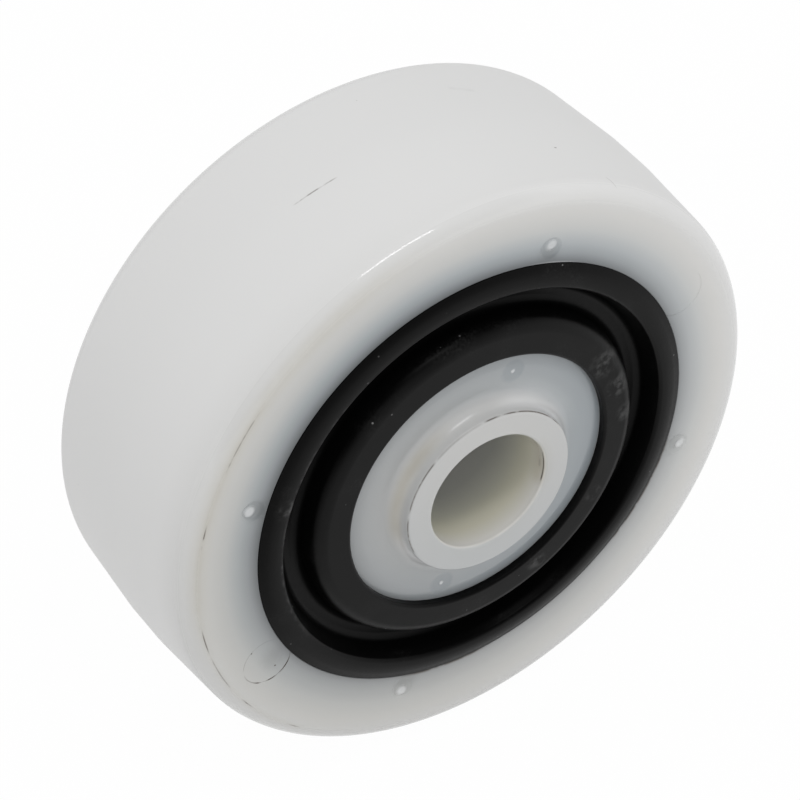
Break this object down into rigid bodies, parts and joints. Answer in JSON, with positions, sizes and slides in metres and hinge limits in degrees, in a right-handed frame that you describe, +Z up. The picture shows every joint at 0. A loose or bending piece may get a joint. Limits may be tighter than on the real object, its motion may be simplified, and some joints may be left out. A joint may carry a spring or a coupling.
{
  "type": "trolley wheel",
  "caption": "Rubber-cushioned nylon trolley wheel: plain tread ring, grooved rubber ring and collared hub with a plain bore for an axle.",
  "frame": {"origin": "centre of the wheel, on the axle's axis at the middle of the bore", "axes": "+Y along the axle, from the side with the moulding marks to the plain side; +Z up and +X along the floor as the wheel rolls"},
  "size_m": [0.101, 0.045, 0.1008],
  "materials": {
    "rim_nylon": "natural nylon, slightly translucent, satin tread",
    "cushion_rubber": "matt black rubber, lightly dusty",
    "hub_nylon": "natural nylon, slightly translucent, matt"
  },
  "bodies": {
    "root": {"rim": "rim_nylon", "cushion_ring": "cushion_rubber", "hub": "hub_nylon"}
  },
  "joints": []
}
